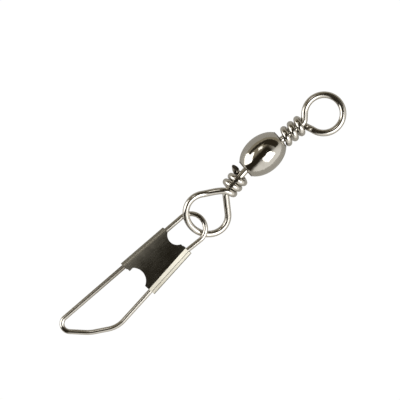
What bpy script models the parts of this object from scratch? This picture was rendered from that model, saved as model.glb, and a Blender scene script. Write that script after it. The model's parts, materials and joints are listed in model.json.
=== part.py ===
"""Fishing snap swivel: a hollow barrel, a wire eye wrapped round its own stem at each end, and a wire snap
whose two legs are held by a folded sheet clasp. It lies on a flat surface, +X towards the line's eye.

The wires are curves, the barrel is a turned profile and the clasp is a folded sheet with two notches cut in it.
"""

from collections import namedtuple
from math import asin, atan2, ceil, cos, hypot, pi, radians, sin, sqrt, tan

import bmesh
import bpy
import numpy as np
from mathutils import Matrix, Vector

MM = 0.001

# Barrel: a shell with an elliptical side, whose ends are turned in round the stems of the eyes
BARREL_LENGTH = 9.3 * MM
BARREL_DIAMETER = 7.5 * MM
BARREL_END_DIAMETER = 3.54 * MM
BARREL_WALL = 0.6 * MM
BARREL_LIP = 0.7 * MM  # thickness of the turned in ends, along the axis
LIP_ROUNDING = 0.15 * MM

# Eye wire, and the upset head that holds each eye in the barrel
EYE_WIRE = 1.35 * MM
STEM_CLEARANCE = 0.05 * MM  # between a stem, where it leans and sits off centre, and its hole
HEAD_ALLOWANCE = 0.1 * MM  # between a head that sits off centre and the cavity's side, at the end wall
HEAD_LENGTH = 1.2 * MM
HEAD_SHOULDER = 0.05 * MM  # along the stem, between the head's full size and the stem's
HEAD_CHAMFER = 0.2 * MM
HEAD_GAP = 0.1 * MM  # between the pulled out head and the end wall
END_PLAY = 1.0 * MM  # how far the pushed in head lies from its end wall
WRAP_GAP = 0.04 * MM  # between the wraps and the stem that they go round
STEM_BEND = 1.3 * MM  # radius at which the stem turns off into the ring

# Upper eye, for the line: pushed in against the barrel
UPPER_SHIFT = 0.22 * MM  # of the stem in its hole, off the barrel's axis
UPPER_LEAN = radians(3.0)  # sideways, away from the barrel's axis
UPPER_WRAP_GAP = 0.16 * MM  # bare stem between the barrel's end and the wraps, for a stem that leans
UPPER_TURNS = 2.75
UPPER_PITCH = 1.65 * MM
UPPER_NECK = 0.44 * MM  # from the last wrap to the stem's bend
UPPER_RING_OUT = 4.12 * MM  # from the stem's bend to the ring's centre
UPPER_RING_SIDE = -1.05 * MM  # the ring's centre, off the stem's axis
UPPER_RING_LENGTH = 7.76 * MM
UPPER_RING_WIDTH = 7.6 * MM

# Lower eye, for the snap: pulled out, leaning to one side and rolled
LOWER_SHIFT = 0.15 * MM
LOWER_WRAP_GAP = 0.6 * MM
LOWER_TURNS = 2.75
LOWER_PITCH = 1.5 * MM
LOWER_NECK = 0.7 * MM
LOWER_RING_OUT = 5.65 * MM
LOWER_RING_SIDE = 0.1 * MM
LOWER_RING_LENGTH = 7.96 * MM
LOWER_RING_WIDTH = 9.6 * MM
LOWER_LEAN = radians(7.5)  # sideways, in the plane that the swivel lies on

# Snap wire: from the link bend in the lower eye, round the nose and back
SNAP_WIRE = 1.0 * MM
LINK_BEND = 3.0 * MM
LINK_REACH = 2.5 * MM  # how far the link bend reaches into the lower eye
LINK_CROSSING = 0.75  # share of that reach at which its two sides pass the eye's wire
LINK_SHIFT = 0.36 * MM  # sideways, from the tip of the lower eye
LINK_CLEARANCE = 0.09 * MM  # between the two linked wires
SNAP_TURN = radians(2.0)  # of the snap, against the barrel's axis
NECK_BEND = 6.0 * MM  # of the long leg, where it enters the clasp
KNEE_REACH = 26.9 * MM
KNEE_SIDE = 6.35 * MM
KNEE_BEND = 5.6 * MM
NOSE_BREAK_REACH = 31.86 * MM
NOSE_BREAK_SIDE = 3.8 * MM
NOSE_BREAK_BEND = 8.0 * MM
NOSE_REACH = 38.04 * MM
NOSE_SIDE = -1.61 * MM
NOSE_BEND = 2.0 * MM

# Clasp: one sheet folded round both legs. The wire's two ends lie in its left fold
SHEET = 0.25 * MM
CLASP_CLEARANCE = 0.06 * MM
CLASP_TOP = 6.1 * MM  # from the link bend, on the long leg
CLASP_LENGTH = 10.9 * MM
CLASP_SKEW = radians(9.5)  # its ends lean by this, to be square to the long leg's side
PLATE_RISE = 0.18 * MM  # of the flat front, above the sheet that lies on the wire
HEM_SLACK_TOP = 0.13 * MM  # room beside the long leg
HEM_SLACK_BOTTOM = 0.33 * MM
HEM_START = radians(108.0)  # where the crease lies, round the long leg
PLATE_EDGE_TOP = 0.33 * MM  # of the flat front, from the long leg's centre
PLATE_EDGE_BOTTOM = 0.1 * MM
FOLD_SLACK = 0.1 * MM  # room beside the left leg
FOLD_CURVE = 0.8 * MM  # how far the left fold's gentle curve starts before the leg
RIGHT_LIP = 1.2 * MM  # back lips, from each leg's centre
LEFT_LIP = 1.45 * MM
FIXED_END = 4.6 * MM  # how far the link side's end goes into the clasp
LATCH_END = 4.0 * MM  # how far the latch's end goes into it from below

# Notches in the clasp's front
TOP_NOTCH_WIDTH = 3.5 * MM
TOP_NOTCH_DEPTH = 1.1 * MM
TOP_NOTCH_PLACE = 3.55 * MM  # from the long leg's centre
BOTTOM_NOTCH_WIDTH = 4.9 * MM
BOTTOM_NOTCH_DEPTH = 1.75 * MM
BOTTOM_NOTCH_PLACE = 3.93 * MM
CUTTER_BASE = 0.12 * MM  # above the middle of the legs, so that the clasp's back stays whole
CUTTER_HEIGHT = 2.0 * MM

# Fineness of the solids
ARC_STEP = radians(11.0)
BEND_ROOM = 0.49  # share of a path's side that one bend may take
RING_STEPS = 40
RETURN_STEPS = 8  # from the ring to the wraps
WRAP_STEPS = 20  # a turn
BARREL_STEPS = 44
BARREL_MERGE = 0.001 * MM
NOTCH_STEPS = 48
CLASP_ROWS = 6

# Search for the least roll of the lower eye at which the linked wires are clear
FIRST_ROLL = radians(10.0)
ROLL_STEP = radians(0.5)
MOST_ROLLS = 130
HEIGHT_ROUNDS = 10  # of halving, for the snap's height
LINK_STEP = 0.1 * MM  # between the points at which the wires are compared
WIDEST_TANGENT = 0.99  # sine of the widest angle between a stem and the side of its ring

PART_NAME = "fishing_snap_swivel"

EYE_R = EYE_WIRE / 2
SNAP_R = SNAP_WIRE / 2
AXIS_HEIGHT = BARREL_DIAMETER / 2
PIVOT = (BARREL_LENGTH - BARREL_LIP) / 2  # middle of the lip that a stem turns in

Eye = namedtuple("Eye", "wraps turns pitch neck ring_out ring_side half_length half_width hand")
Point = namedtuple("Point", "place radius")
Link = namedtuple("Link", "eye_matrix snap_matrix hinge axis")


def blend(start, end, share):
    return start + (end - start) * share


def arc(centre, radii, start, end):
    """Points of an arc of an ellipse in the plane, with both of its ends."""
    steps = max(2, ceil(abs(end - start) / ARC_STEP))
    angles = [blend(start, end, step / steps) for step in range(steps + 1)]
    return [Vector((centre[0] + radii[0] * cos(a), centre[1] + radii[1] * sin(a))) for a in angles]


def rounded_path(corners):
    """A plane path through corners of (x, y, bend radius), with each inner corner bent round."""
    spots = [Vector(corner[:2]) for corner in corners]
    path = [spots[0]]
    for before, corner, after, (_, _, radius) in zip(spots, spots[1:], spots[2:], corners[1:]):
        back, on = (before - corner).normalized(), (after - corner).normalized()
        half_turn = (pi - back.angle(on)) / 2
        room = BEND_ROOM * min((before - corner).length, (after - corner).length)
        reach = min(radius * tan(half_turn), room)
        bend = reach / tan(half_turn)
        centre = corner + (back + on).normalized() * hypot(bend, reach)
        first, last = corner + back * reach - centre, corner + on * reach - centre
        start = atan2(first.y, first.x)
        turn = (atan2(last.y, last.x) - start + pi) % (2 * pi) - pi
        path += arc(centre, (bend, bend), start, start + turn)
    return path + [spots[-1]]


def cavity_radius(place):
    """Inner radius of the barrel's side at this distance from its middle."""
    half, widest, end = BARREL_LENGTH / 2, BARREL_DIAMETER / 2, BARREL_END_DIAMETER / 2
    half_ellipse = half / sqrt(1 - (end / widest) ** 2)
    return (widest - BARREL_WALL) * sqrt(1 - (place / (half_ellipse - BARREL_WALL)) ** 2)


def head_radius():
    return cavity_radius(BARREL_LENGTH / 2 - BARREL_LIP) - HEAD_ALLOWANCE - max(UPPER_SHIFT, LOWER_SHIFT)


def upper_eye():
    wraps = BARREL_LIP / 2 + UPPER_WRAP_GAP + EYE_R
    return Eye(
        wraps, UPPER_TURNS, UPPER_PITCH, UPPER_NECK, UPPER_RING_OUT, UPPER_RING_SIDE,
        UPPER_RING_LENGTH / 2, UPPER_RING_WIDTH / 2, -1,
    )


def lower_eye():
    wraps = BARREL_LIP / 2 + LOWER_WRAP_GAP + EYE_R
    return Eye(
        wraps, LOWER_TURNS, LOWER_PITCH, LOWER_NECK, LOWER_RING_OUT, LOWER_RING_SIDE,
        LOWER_RING_LENGTH / 2, LOWER_RING_WIDTH / 2, 1,
    )


def last_wrap(eye):
    """How far out the ring's wire starts to go round the stem."""
    return eye.wraps + eye.turns * eye.pitch


def ring_out(eye):
    return last_wrap(eye) + eye.neck + eye.ring_out


def tangent(eye, start, side):
    """Direction from a point on the stem to the ring's tangent point, and that point's angle on the ring.

    The ring is an ellipse, so both are found with its width shrunk to its length, where it is a circle."""
    across = eye.ring_side * eye.half_length / eye.half_width
    out = ring_out(eye) - start
    away = hypot(out, across)
    direction = atan2(across, out) + side * asin(min(WIDEST_TANGENT, eye.half_length / away))
    return direction, direction + side * pi / 2


def ring_point(eye, angle):
    return Vector((
        ring_out(eye) + eye.half_length * cos(angle),
        eye.ring_side + eye.half_width * sin(angle),
        0,
    ))


def wrap_point(eye, turn):
    """Where the wraps are after this many turns, from where they cross the stem."""
    radius = EYE_WIRE + WRAP_GAP
    angle = 2 * pi * turn
    return Vector((
        last_wrap(eye) - eye.pitch * turn,
        radius * sin(angle),
        eye.hand * radius * cos(angle),
    ))


def return_leg(eye, angle):
    """The wire from the ring to the wraps, on one smooth curve that passes over or under the stem."""
    start, end = ring_point(eye, angle), wrap_point(eye, 0)
    heading = Vector((eye.half_length * sin(angle), -eye.half_width * cos(angle), 0))
    leaving = heading.normalized() * (end - start).length
    arriving = Vector((-eye.pitch, 2 * pi * (EYE_WIRE + WRAP_GAP), 0)).normalized() * (end - start).length
    points = []
    for step in range(1, RETURN_STEPS):
        t = step / RETURN_STEPS
        points.append(
            start * (2 * t**3 - 3 * t**2 + 1)
            + leaving * (t**3 - 2 * t**2 + t)
            + end * (3 * t**2 - 2 * t**3)
            + arriving * (t**3 - t**2)
        )
    return points


def ring_path(eye):
    """The ring's wire, from where the stem reaches it to where it turns back."""
    _, first = tangent(eye, last_wrap(eye) + eye.neck, 1)
    _, last = tangent(eye, last_wrap(eye), -1)
    return [ring_point(eye, blend(first, last, step / RING_STEPS)) for step in range(RING_STEPS + 1)], last


def eye_path(eye, head):
    """The whole wire of an eye, as points with a radius: its head, stem, ring and wraps.

    Its frame has +X out of the barrel along the stem, from the middle of the lip. The head's face is at -head."""
    back = head + HEAD_LENGTH
    size = head_radius() / EYE_R
    points = [
        Point(Vector((-back, 0, 0)), size - HEAD_CHAMFER / EYE_R),
        Point(Vector((HEAD_CHAMFER - back, 0, 0)), size),
        Point(Vector((-head, 0, 0)), size),
        Point(Vector((HEAD_SHOULDER - head, 0, 0)), 1),
    ]
    ring, last = ring_path(eye)
    bend = (last_wrap(eye) + eye.neck, 0, STEM_BEND)
    stem = rounded_path([(0, 0, 0), bend, (ring[0].x, ring[0].y, 0)])
    points += [Point(spot.to_3d(), 1) for spot in stem]
    points += [Point(spot, 1) for spot in ring[1:]]
    points += [Point(spot, 1) for spot in return_leg(eye, last)]
    turns = ceil(eye.turns * WRAP_STEPS)
    points += [Point(wrap_point(eye, eye.turns * step / turns), 1) for step in range(turns + 1)]
    return points


def left_line(reach):
    """Sideways place of the snap's straight left side, at this distance from the link bend."""
    return blend(-LINK_BEND, NOSE_SIDE, reach / NOSE_REACH)


def long_leg(reach):
    """Sideways place of the long leg, which is straight from the clasp's top to the knee."""
    return blend(LINK_BEND, KNEE_SIDE, (reach - CLASP_TOP) / (KNEE_REACH - CLASP_TOP))


def clasp_ends(share):
    """Where the clasp crosses the long leg and the left line, at this share of its length."""
    reach = CLASP_TOP + CLASP_LENGTH * share
    right = Vector((reach, long_leg(reach)))
    slope = (NOSE_SIDE + LINK_BEND) / NOSE_REACH
    lean = tan(CLASP_SKEW)
    left_reach = (reach + lean * (right.y + LINK_BEND)) / (1 + lean * slope)
    return right, Vector((left_reach, left_line(left_reach)))


def snap_path():
    """The snap's centreline in its own plane: +X from the link bend to the nose, +Y to the long leg."""
    fixed = clasp_ends(0)[1].x + FIXED_END
    latch = clasp_ends(1)[1].x - LATCH_END
    return rounded_path([
        (fixed, left_line(fixed), 0),
        (0, -LINK_BEND, LINK_BEND),
        (0, LINK_BEND, LINK_BEND),
        (CLASP_TOP, LINK_BEND, NECK_BEND),
        (KNEE_REACH, KNEE_SIDE, KNEE_BEND),
        (NOSE_BREAK_REACH, NOSE_BREAK_SIDE, NOSE_BREAK_BEND),
        (NOSE_REACH, NOSE_SIDE, NOSE_BEND),
        (latch, left_line(latch), 0),
    ])


def clasp_section(share):
    """The folded sheet's middle line, as points of (across, up) from the long leg's centre to the left leg's."""
    right, left = clasp_ends(share)
    width = (left - right).length
    rise = SNAP_R + CLASP_CLEARANCE + SHEET / 2
    plate = rise + PLATE_RISE
    hem = rise + blend(HEM_SLACK_TOP, HEM_SLACK_BOTTOM, share)
    fold = rise + FOLD_SLACK
    edge = blend(PLATE_EDGE_TOP, PLATE_EDGE_BOTTOM, share)
    section = [Vector((RIGHT_LIP, -rise))]
    section += arc((0, 0), (hem, rise), 1.5 * pi, HEM_START)
    section += [Vector((edge, plate))]
    section += arc((width - FOLD_CURVE, 0), (FOLD_CURVE + fold, plate), pi / 2, 0)
    section += arc((width, 0), (fold, rise), 0, -pi / 2)[1:]
    section += [Vector((width - LEFT_LIP, -rise))]
    return right, (left - right).normalized(), section


def lower_eye_matrix(roll):
    """Place of the lower eye: it leans to one side and droops until its ring's low side meets the surface."""
    eye = lower_eye()
    drop = AXIS_HEIGHT - EYE_R - (eye.half_width + eye.ring_side) * sin(roll)
    droop = asin(drop / ring_out(eye))
    turned = Matrix.Rotation(pi + LOWER_LEAN, 4, "Z") @ Matrix.Rotation(droop, 4, "Y")
    return Matrix.Translation((-PIVOT, -LOWER_SHIFT, AXIS_HEIGHT)) @ turned @ Matrix.Rotation(-roll, 4, "X")


def upper_eye_matrix():
    """Place of the upper eye, which leans to the same side."""
    return Matrix.Translation((PIVOT, -UPPER_SHIFT, AXIS_HEIGHT)) @ Matrix.Rotation(-UPPER_LEAN, 4, "Z")


def snap_matrix(eye_matrix, height):
    """Place of the snap: its link bend at this height where it crosses the ring, its nose on the surface."""
    tip = eye_matrix @ ring_point(lower_eye(), 0)
    nose = max(spot.x for spot in snap_path())
    crossing = LINK_CROSSING * LINK_REACH
    pitch = asin((height - SNAP_R) / (nose - crossing))
    bend = Vector((tip.x + LINK_REACH, tip.y + LINK_SHIFT, height + crossing * sin(pitch)))
    turned = Matrix.Rotation(pi - SNAP_TURN, 4, "Z") @ Matrix.Rotation(pitch, 4, "Y")
    return Matrix.Translation(bend) @ turned


def dense(points):
    """The points of a path with others added between them, a small step apart."""
    filled = []
    for start, end in zip(points, points[1:]):
        count = ceil((end - start).length / LINK_STEP)
        filled += [start.lerp(end, share / count) for share in range(count)]
    return filled


def nearest(ring, wire):
    """Closest points of two paths: their distance, and the index of the point on the first."""
    apart = np.linalg.norm(np.array(ring)[:, None] - np.array(wire)[None], axis=2)
    return apart.min(), int(apart.min(axis=1).argmin())


def level_link(eye_matrix, ring, left, right):
    """Place of the snap, as high as leaves both sides of its link bend equally clear of the ring."""
    low, high = SNAP_R, 2 * AXIS_HEIGHT
    for _ in range(HEIGHT_ROUNDS):
        height = (low + high) / 2
        snap = snap_matrix(eye_matrix, height)
        under = nearest(ring, [snap @ spot for spot in left])[0]
        over = nearest(ring, [snap @ spot for spot in right])[0]
        if under > over:
            low = height
        else:
            high = height
    return snap, min(under, over)


def link_layout():
    """The lower eye and the snap, with the least roll of the eye at which the two linked wires are clear."""
    path = dense([spot.to_3d() for spot in snap_path() if spot.x < 2 * LINK_BEND])
    left = [spot for spot in path if spot.y < 0]
    right = [spot for spot in path if spot.y > 0]
    ring_points = dense(ring_path(lower_eye())[0])
    for step in range(MOST_ROLLS):
        eye_matrix = lower_eye_matrix(FIRST_ROLL + step * ROLL_STEP)
        ring = [eye_matrix @ spot for spot in ring_points]
        snap, apart = level_link(eye_matrix, ring, left, right)
        if apart > EYE_R + SNAP_R + LINK_CLEARANCE:
            break
    _, index = nearest(ring, [snap @ spot for spot in right])
    return Link(eye_matrix, snap, ring[index], (ring[index + 1] - ring[index - 1]).normalized())


def new_collection(name):
    collection = bpy.data.collections.new(name)
    bpy.context.scene.collection.children.link(collection)
    return collection


def add_object(name, data, collection, parent=None, matrix=None):
    item = bpy.data.objects.new(name, data)
    collection.objects.link(item)
    item.parent = parent
    if matrix is not None:
        item.matrix_basis = matrix
    return item


def bright_nickel(name, colour, roughness):
    """Plated metal of this colour."""
    material = bpy.data.materials.new(name)
    material.use_nodes = True
    shader = material.node_tree.nodes["Principled BSDF"]
    shader.inputs["Base Color"].default_value = (*colour, 1)
    shader.inputs["Roughness"].default_value = roughness
    shader.inputs["Metallic"].default_value = 1
    return material


def wire(name, points, diameter, material, collection, parent, matrix=None):
    """A round wire along points with a radius each, the radius being a share of the wire's own."""
    curve = bpy.data.curves.new(name, "CURVE")
    curve.dimensions = "3D"
    curve.bevel_depth = diameter / 2
    curve.bevel_resolution = 4
    curve.use_fill_caps = True
    spline = curve.splines.new("POLY")
    spline.points.add(len(points) - 1)
    for slot, point in zip(spline.points, points):
        slot.co = (*point.place, 1)
        slot.radius = point.radius
    curve.materials.append(material)
    return add_object(name, curve, collection, parent, matrix)


def barrel_profile(hole):
    """Closed outline of the barrel's wall as points of (radius, height): down its outside, up its inside."""
    half, widest, end = BARREL_LENGTH / 2, BARREL_DIAMETER / 2, BARREL_END_DIAMETER / 2
    half_ellipse = half / sqrt(1 - (end / widest) ** 2)
    inner = half - BARREL_LIP
    top = asin((half - LIP_ROUNDING) / half_ellipse)
    outside = arc((0, 0), (widest, half_ellipse), top, -top)
    rim = outside[0].x
    lip = [
        Vector((rim - LIP_ROUNDING, half)),
        Vector((hole + LIP_ROUNDING, half)),
        Vector((hole, half - LIP_ROUNDING)),
        Vector((hole, inner)),
    ]
    inside_top = asin(inner / (half_ellipse - BARREL_WALL))
    inside = arc((0, 0), (widest - BARREL_WALL, half_ellipse - BARREL_WALL), -inside_top, inside_top)
    lower_lip = [Vector((spot.x, -spot.y)) for spot in lip]
    return outside + lower_lip + inside + lip[::-1]


def barrel(tilt, material, collection, root):
    """The barrel, whose holes clear a stem that tilts by this, all through the lip."""
    off_centre = max(UPPER_SHIFT, LOWER_SHIFT)
    profile = barrel_profile(EYE_R / cos(tilt) + BARREL_LIP / 2 * tan(tilt) + off_centre + STEM_CLEARANCE)
    mesh = bpy.data.meshes.new("barrel")
    count = len(profile)
    mesh.from_pydata(
        [(spot.x, 0, spot.y) for spot in profile],
        [(index, (index + 1) % count) for index in range(count)],
        [],
    )
    mesh.materials.append(material)
    turned = Matrix.Translation((0, 0, AXIS_HEIGHT)) @ Matrix.Rotation(pi / 2, 4, "Y")
    item = add_object("barrel", mesh, collection, root, turned)
    screw = item.modifiers.new("turn", "SCREW")
    screw.steps = BARREL_STEPS
    screw.render_steps = BARREL_STEPS
    screw.use_merge_vertices = True
    screw.merge_threshold = BARREL_MERGE
    screw.use_smooth_shade = True
    return item


def clasp_surface():
    """The folded sheet's middle surface, a loft along the two legs."""
    mesh = bpy.data.meshes.new("snap_clasp")
    surface = bmesh.new()
    rows = []
    for row in range(CLASP_ROWS + 1):
        start, across, section = clasp_section(row / CLASP_ROWS)
        spots = [(start + across * spot.x).to_3d() + Vector((0, 0, spot.y)) for spot in section]
        rows.append([surface.verts.new(spot) for spot in spots])
    for row, below in zip(rows, rows[1:]):
        for a, b, c, d in zip(row, below, below[1:], row[1:]):
            surface.faces.new((a, b, c, d))
    surface.to_mesh(mesh)
    surface.free()
    return mesh


def notch_cutter(name, share, place, width, depth, cutters, parent, matrix):
    """A cylinder that cuts a round notch in the clasp's front and stays above its back."""
    start, across, _ = clasp_section(share)
    outward = Vector((-across.y, across.x)) * (2 * share - 1)
    radius = ((width / 2) ** 2 + depth**2) / (2 * depth)
    centre = (start + across * place + outward * (radius - depth)).to_3d()
    middle = centre + Vector((0, 0, CUTTER_BASE + CUTTER_HEIGHT / 2))
    shape = bmesh.new()
    bmesh.ops.create_cone(
        shape, cap_ends=True, segments=NOTCH_STEPS, radius1=radius, radius2=radius,
        depth=CUTTER_HEIGHT, matrix=Matrix.Translation(middle),
    )
    mesh = bpy.data.meshes.new(name)
    shape.to_mesh(mesh)
    shape.free()
    item = add_object(name, mesh, cutters, parent, matrix)
    item.hide_render = True
    item.display_type = "WIRE"
    return item


def snap_clasp(material, collection, cutters, parent, matrix):
    mesh = clasp_surface()
    mesh.materials.append(material)
    item = add_object("snap_clasp", mesh, collection, parent, matrix)
    sheet = item.modifiers.new("sheet", "SOLIDIFY")
    sheet.thickness = SHEET
    sheet.offset = 0
    sheet.use_even_offset = True
    notches = (
        ("top_notch", 0, TOP_NOTCH_PLACE, TOP_NOTCH_WIDTH, TOP_NOTCH_DEPTH),
        ("bottom_notch", 1, BOTTOM_NOTCH_PLACE, BOTTOM_NOTCH_WIDTH, BOTTOM_NOTCH_DEPTH),
    )
    for name, share, place, width, depth in notches:
        cut = item.modifiers.new(name, "BOOLEAN")
        cut.object = notch_cutter(name, share, place, width, depth, cutters, parent, matrix)
        cut.operation = "DIFFERENCE"
    return item


def stand_on_origin(root, parts):
    """Moves the root so that the footprint's centre is at the origin, on the surface."""
    bpy.context.view_layer.update()
    graph = bpy.context.evaluated_depsgraph_get()
    corners = []
    for item in parts:
        seen = item.evaluated_get(graph)
        mesh = seen.to_mesh()
        corners += [seen.matrix_world @ vertex.co for vertex in mesh.vertices]
        seen.to_mesh_clear()
    low = Vector([min(spot[axis] for spot in corners) for axis in range(3)])
    high = Vector([max(spot[axis] for spot in corners) for axis in range(3)])
    root.location -= Vector(((low.x + high.x) / 2, (low.y + high.y) / 2, low.z))


def main():
    for item in list(bpy.data.objects):
        bpy.data.objects.remove(item)
    parts = new_collection(PART_NAME)
    cutters = new_collection("cutters")
    root = add_object("swivel_root", None, parts)
    link = link_layout()
    upper_spin = add_object("upper_eye_spin", None, parts, root, upper_eye_matrix())
    lower_spin = add_object("lower_eye_spin", None, parts, root, link.eye_matrix)
    turned = Vector((0, 1, 0)).rotation_difference(link.axis).to_matrix().to_4x4()
    hinge_frame = Matrix.Translation(link.hinge) @ turned
    snap_swing = add_object("snap_swing", None, parts, root, hinge_frame)
    in_hinge = hinge_frame.inverted() @ link.snap_matrix
    tilt = link.eye_matrix.col[0].to_3d().angle(Vector((-1, 0, 0)))
    upper_head = BARREL_LIP / 2 + END_PLAY
    lower_head = BARREL_LIP / 2 + HEAD_GAP + head_radius() * tan(tilt)

    nickel = bright_nickel("bright_nickel_wire", (0.62, 0.6, 0.55), 0.16)
    shell = bright_nickel("polished_barrel", (0.66, 0.64, 0.6), 0.12)
    sheet = bright_nickel("darkened_sheet", (0.4, 0.37, 0.31), 0.22)
    snap_points = [Point(spot.to_3d(), 1) for spot in snap_path()]
    made = [
        barrel(tilt, shell, parts, root),
        wire("upper_eye", eye_path(upper_eye(), upper_head), EYE_WIRE, nickel, parts, upper_spin),
        wire("lower_eye", eye_path(lower_eye(), lower_head), EYE_WIRE, nickel, parts, lower_spin),
        wire("snap_wire", snap_points, SNAP_WIRE, nickel, parts, snap_swing, in_hinge),
        snap_clasp(sheet, parts, cutters, snap_swing, in_hinge),
    ]
    stand_on_origin(root, made)


main()
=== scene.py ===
"""Fishing snap swivel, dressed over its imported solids: nickel wires that are bent along their own paths, a
turned barrel and a folded sheet clasp, on a pale table under three softboxes in a dim room.

Lengths are in metres. A place on the snap is given from its link bend, which passes through the lower eye.
"""

import json
from collections import namedtuple
from math import asin, atan2, ceil, cos, hypot, pi, radians, sin, sqrt, tan

import bmesh
import bpy
import numpy as np
from mathutils import Matrix, Vector


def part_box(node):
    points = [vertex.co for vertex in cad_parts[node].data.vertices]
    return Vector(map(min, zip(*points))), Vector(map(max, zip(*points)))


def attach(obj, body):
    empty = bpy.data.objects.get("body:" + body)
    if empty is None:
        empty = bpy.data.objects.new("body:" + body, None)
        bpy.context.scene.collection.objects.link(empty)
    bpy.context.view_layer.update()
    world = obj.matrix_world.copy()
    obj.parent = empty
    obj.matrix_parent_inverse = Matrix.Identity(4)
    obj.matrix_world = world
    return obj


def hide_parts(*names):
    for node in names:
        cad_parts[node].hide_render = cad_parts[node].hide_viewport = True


bl_info = {
    "name": "Fishing snap swivel",
    "version": (1, 0, 0),
    "blender": (4, 5, 0),
    "location": "3D View > Sidebar > Swivel",
    "description": "Makes the barrel, the eyes, the snap and its clasp over their solids, and the studio",
    "category": "Object",
}

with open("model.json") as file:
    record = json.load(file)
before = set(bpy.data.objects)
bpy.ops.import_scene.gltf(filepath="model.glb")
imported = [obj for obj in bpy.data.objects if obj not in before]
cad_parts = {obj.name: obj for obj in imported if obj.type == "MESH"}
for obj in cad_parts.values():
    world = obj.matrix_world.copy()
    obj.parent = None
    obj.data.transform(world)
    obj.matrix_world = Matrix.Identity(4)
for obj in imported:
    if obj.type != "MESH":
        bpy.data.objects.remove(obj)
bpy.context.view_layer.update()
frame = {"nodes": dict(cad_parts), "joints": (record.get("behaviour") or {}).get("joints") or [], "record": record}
MM = 0.001

# Fineness of the visible pieces
ARC_STEP = radians(3.0)
BEND_ROOM = 0.49  # share of a path's side that one bend may take
RING_STEPS = 150
RETURN_STEPS = 40  # from the ring to the wraps
WRAP_STEPS = 72  # a turn
TAIL_STEPS = 16
WIRE_SIDES = 40
TIP_STEPS = 3  # round the rim of a wire's end
BARREL_STEPS = 144
CLASP_ROWS = 4
BOW_STEPS = 12
NOTCH_STEPS = 160
EDGE_STEPS = 2
MERGED = 1e-7  # points this close are one
ON_PLANE = 1e-8  # points this close to a cut lie on it
SHARP = radians(15.0)  # faces that meet at less than this are shaded smooth
BEVELLED = radians(50.0)  # edges that turn by more than this are rounded

# Ways that the slanted cuts of the eyes' wires face, in each eye's own frame
UPPER_SLANT = Vector((0.3, 0.5, -1))
LOWER_SLANT = Vector((-0.86, -0.25, 0.42))
CUT_REACH = 1.1  # how far back from the tip a cut may touch the wire, as a share of its diameter
ONLY_RING = 0.75  # past this share of an eye's length there is only its ring

# Marks in the plate: their scale in periods a metre along X, Y and Z, the share of grooves in the relief and
# its depth
Marks = namedtuple("Marks", "scale grooves pits")
DRAWN = Marks((9000.0, 9000.0, 260.0), 0.5, 0.006 * MM)
TURNED = Marks((5200.0, 420.0, 420.0), 0.06, 0.035 * MM)
ROLLED = Marks((300.0, 4200.0, 4200.0), 0.3, 0.004 * MM)

# Noises, as scale, detail and roughness
LINES = (1.0, 4.0, 0.65)
SMEARS = (420.0, 3.0, 0.6)
CLOUDS = (1500.0, 2.0, 0.5)
SPECKS = (5200.0, 2.0, 0.5)
CLOUDS_RELIEF = 0.6

# Where a noise starts to tarnish the plate and where it does so fully, and how much
SMEARED = (0.52, 0.78)
SPECKED = (0.68, 0.80)
SMEAR_TARNISH = 0.30
SPECK_TARNISH = 0.25
CUT_AND_SHADE_TINT = 0.6  # share of the tarnish colour where the plate is cut through at the wires' ends, and in the painted shade at the barrel's ends

# How much each mark changes the roughness
LINE_DULL = 0.16
SMEAR_DULL = 0.14
SPECK_DULL = 0.15
# Duller where the plate is cut through, and in the painted shade at the barrel's ends
CUT_AND_SHADE_DULL = 0.3
RUBBED_DULL = 0.22

# The clasp's front gets duller between these parts of the way from the long leg to the left lip
RUBBED = (0.4, 1.4)

# The dim room. Places on its walls are parts of its radius, towards the window or along or across the boom
ROOM_RADIUS = 1.3
ROOM_STEPS = 32
ROOM_WALL = (0.35, 0.31, 0.235)
WINDOW_WALL = (1.1, 1.08, 1.04)
WINDOW_SIDE = (0.0, 0.85)  # the walls get lighter between these, towards the window
BOOM_SHADE = (0.03, 0.024, 0.015)
BOOM_EDGE = (0.24, 0.52)  # off the boom's line, where its shade starts to fade and where it ends
BOOM_TIP = (-0.75, -0.45)  # along the boom's line, where its shade starts and where it is full
BLACK_CARD = (0.04, 0.032, 0.02)

# The table and the white round it
TABLE_REACH = 1.5  # from its middle to its side
TABLE_DROP = 0.02 * MM  # below the object
TABLE_ROUGH = 0.6
TABLE_WHITE = 1.1
SEEN_WHITE = 0.9  # share of white that the camera sees on the table
REFLECTED_WHITE = 0.2  # and the share that reflections show
ROOM_LIGHT = 0.35  # strength at which the white world lights the object

SENSOR = 36.0  # width of the camera's sensor in millimetres

# Screens stand by degrees round from the picture's right and from straight above, then metres from the
# middle. A softbox has its brightness beside it
Screen = namedtuple("Screen", "name around tilt far wide high")
SOFTBOXES = (
    (Screen("left_softbox", 180, 68, 0.50, 0.44, 0.50), 2.4),
    (Screen("right_softbox", -32, 37, 0.50, 0.31, 0.38), 3.0),
    (Screen("small_softbox", 118, 39, 0.50, 0.11, 0.10), 1.7),
)
DARK_CARDS = (
    Screen("far_shade", 59, 57, 0.48, 0.60, 0.28),
    Screen("dark_beam", 128, 62, 0.46, 0.86, 0.14),
)
WINDOW_WAY = (-45, 75)  # degrees round and from straight above
BOOM_WAY = (228, 90)
BOOM_SIDE_WAY = (138, 90)

Eye = namedtuple("Eye", "wraps turns pitch neck ring_out ring_side half_length half_width hand head tail")
Point = namedtuple("Point", "place radius")  # the radius is a share of the wire's


def length(name, description, millimetres):
    """A size in metres, which Blender's sidebar shows in the scene's units."""
    return bpy.props.FloatProperty(
        name=name, description=description, default=millimetres * MM, unit="LENGTH", precision=5,
    )


def turn(name, description, degrees):
    return bpy.props.FloatProperty(
        name=name, description=description, default=radians(degrees), subtype="ANGLE",
    )


def share(name, description, default):
    return bpy.props.FloatProperty(name=name, description=description, default=default, min=0, max=1)


def count(name, description, default):
    return bpy.props.FloatProperty(name=name, description=description, default=default, min=0)


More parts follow.
